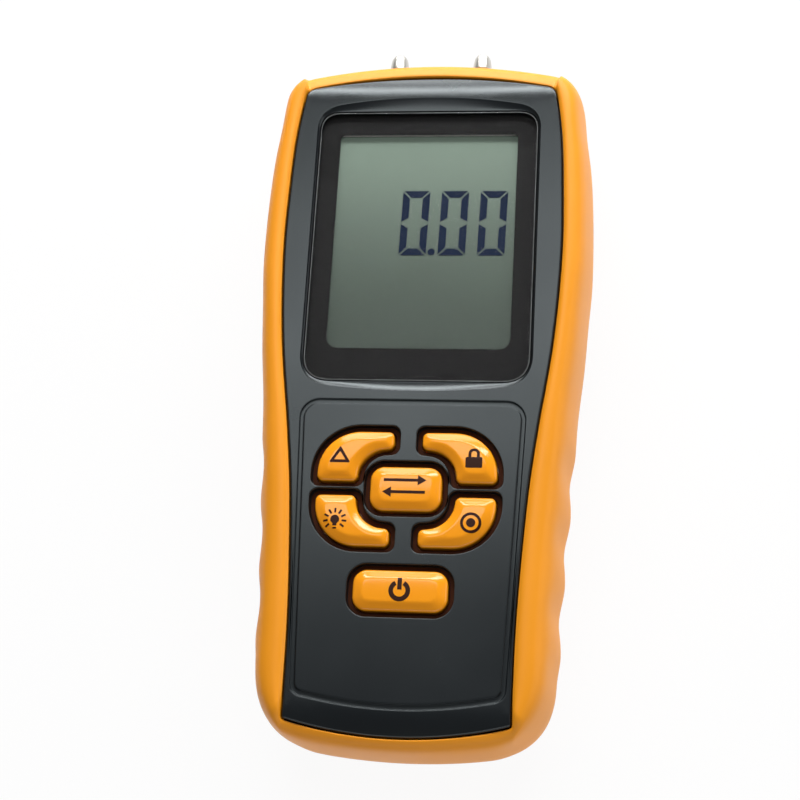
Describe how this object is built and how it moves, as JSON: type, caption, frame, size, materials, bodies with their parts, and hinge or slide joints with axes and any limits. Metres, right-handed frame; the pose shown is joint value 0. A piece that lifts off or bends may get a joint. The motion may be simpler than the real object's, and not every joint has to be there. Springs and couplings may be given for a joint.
{
  "type": "digital manometer",
  "caption": "Handheld digital pressure gauge with a display, soft keys, a rubber boot and two hose ports on its top end.",
  "frame": {"origin": "point of the flat back on which it rests, on the middle line, level with the middle of the front panel", "axes": "+Z out of the face, +Y towards the hose ports, +X to the right as the face is read"},
  "size_m": [0.0776, 0.1728, 0.0345],
  "materials": {
    "shell_abs": "satin moulded plastic with a fine spark texture",
    "boot_rubber": "soft satin rubber",
    "key_silicone": "glossy coated silicone",
    "clear_window": "clear polished acrylic",
    "mask_print": "black print on film",
    "lcd_glass": "grey-green polariser on glass",
    "lcd_segments": "dark segments",
    "white_plastic": "matt white plastic",
    "strip_rubber": "striped conductive rubber",
    "board_laminate": "green solder mask on glass-fibre laminate",
    "chip_epoxy": "black moulded epoxy",
    "bright_metal": "bright metal",
    "screw_steel": "zinc-plated steel",
    "gold_plate": "gold plate",
    "sensor_plastic": "pale filled plastic",
    "port_nickel": "nickel-plated brass",
    "seal_rubber": "black nitrile rubber",
    "tube_silicone": "milky silicone",
    "battery_case": "printed steel can, plain",
    "snap_plastic": "soft black vinyl",
    "lead_red": "red insulation",
    "lead_black": "black insulation",
    "foam": "black foam",
    "pill_carbon": "carbon-filled silicone",
    "insert_brass": "plain brass"
  },
  "bodies": {
    "case": {"front_cover": "shell_abs", "rear_cover": "shell_abs", "rubber_boot": "boot_rubber", "display_window": "clear_window", "window_mask": "mask_print", "lcd_glass": "lcd_glass", "lcd_digits": "lcd_segments", "lcd_frame": "white_plastic", "backlight_panel": "white_plastic", "contact_strips": "strip_rubber", "main_board": "board_laminate", "board_chips": "chip_epoxy", "board_capacitors": "bright_metal", "board_screws": "screw_steel", "key_contacts": "gold_plate", "keypad_mat": "key_silicone", "pressure_sensor": "sensor_plastic", "port_left": "port_nickel", "port_right": "port_nickel", "port_seals": "seal_rubber", "port_nuts": "port_nickel", "tube_left": "tube_silicone", "tube_right": "tube_silicone", "battery": "battery_case", "battery_terminals": "bright_metal", "battery_snap": "snap_plastic", "battery_lead_red": "lead_red", "battery_lead_black": "lead_black", "door_insert": "insert_brass", "case_screws": "screw_steel"},
    "difference_key": {"difference_key": "key_silicone", "difference_pill": "pill_carbon"},
    "hold_key": {"hold_key": "key_silicone", "hold_pill": "pill_carbon"},
    "units_key": {"units_key": "key_silicone", "units_pill": "pill_carbon"},
    "backlight_key": {"backlight_key": "key_silicone", "backlight_pill": "pill_carbon"},
    "record_key": {"record_key": "key_silicone", "record_pill": "pill_carbon"},
    "power_key": {"power_key": "key_silicone", "power_pill": "pill_carbon"},
    "battery_door": {"battery_door": "shell_abs", "battery_pad": "foam", "door_screw": "screw_steel"}
  },
  "joints": [
    {"name": "difference_key_press", "type": "slide", "parent": "case", "child": "difference_key", "axis": [0, 0, -1], "range_m": [0, 0.0007], "stiffness_N_per_m": 900, "springref_m": -0.0004},
    {"name": "hold_key_press", "type": "slide", "parent": "case", "child": "hold_key", "axis": [0, 0, -1], "range_m": [0, 0.0007], "stiffness_N_per_m": 900, "springref_m": -0.0004},
    {"name": "units_key_press", "type": "slide", "parent": "case", "child": "units_key", "axis": [0, 0, -1], "range_m": [0, 0.0007], "stiffness_N_per_m": 900, "springref_m": -0.0004},
    {"name": "backlight_key_press", "type": "slide", "parent": "case", "child": "backlight_key", "axis": [0, 0, -1], "range_m": [0, 0.0007], "stiffness_N_per_m": 900, "springref_m": -0.0004},
    {"name": "record_key_press", "type": "slide", "parent": "case", "child": "record_key", "axis": [0, 0, -1], "range_m": [0, 0.0007], "stiffness_N_per_m": 900, "springref_m": -0.0004},
    {"name": "power_key_press", "type": "slide", "parent": "case", "child": "power_key", "axis": [0, 0, -1], "range_m": [0, 0.0007], "stiffness_N_per_m": 900, "springref_m": -0.0004},
    {"name": "battery_door_hinge", "type": "hinge", "parent": "case", "child": "battery_door", "pos_m": [0, -0.0717, 0.0003], "axis": [-1, 0, 0], "range_deg": [0, 60]}
  ]
}
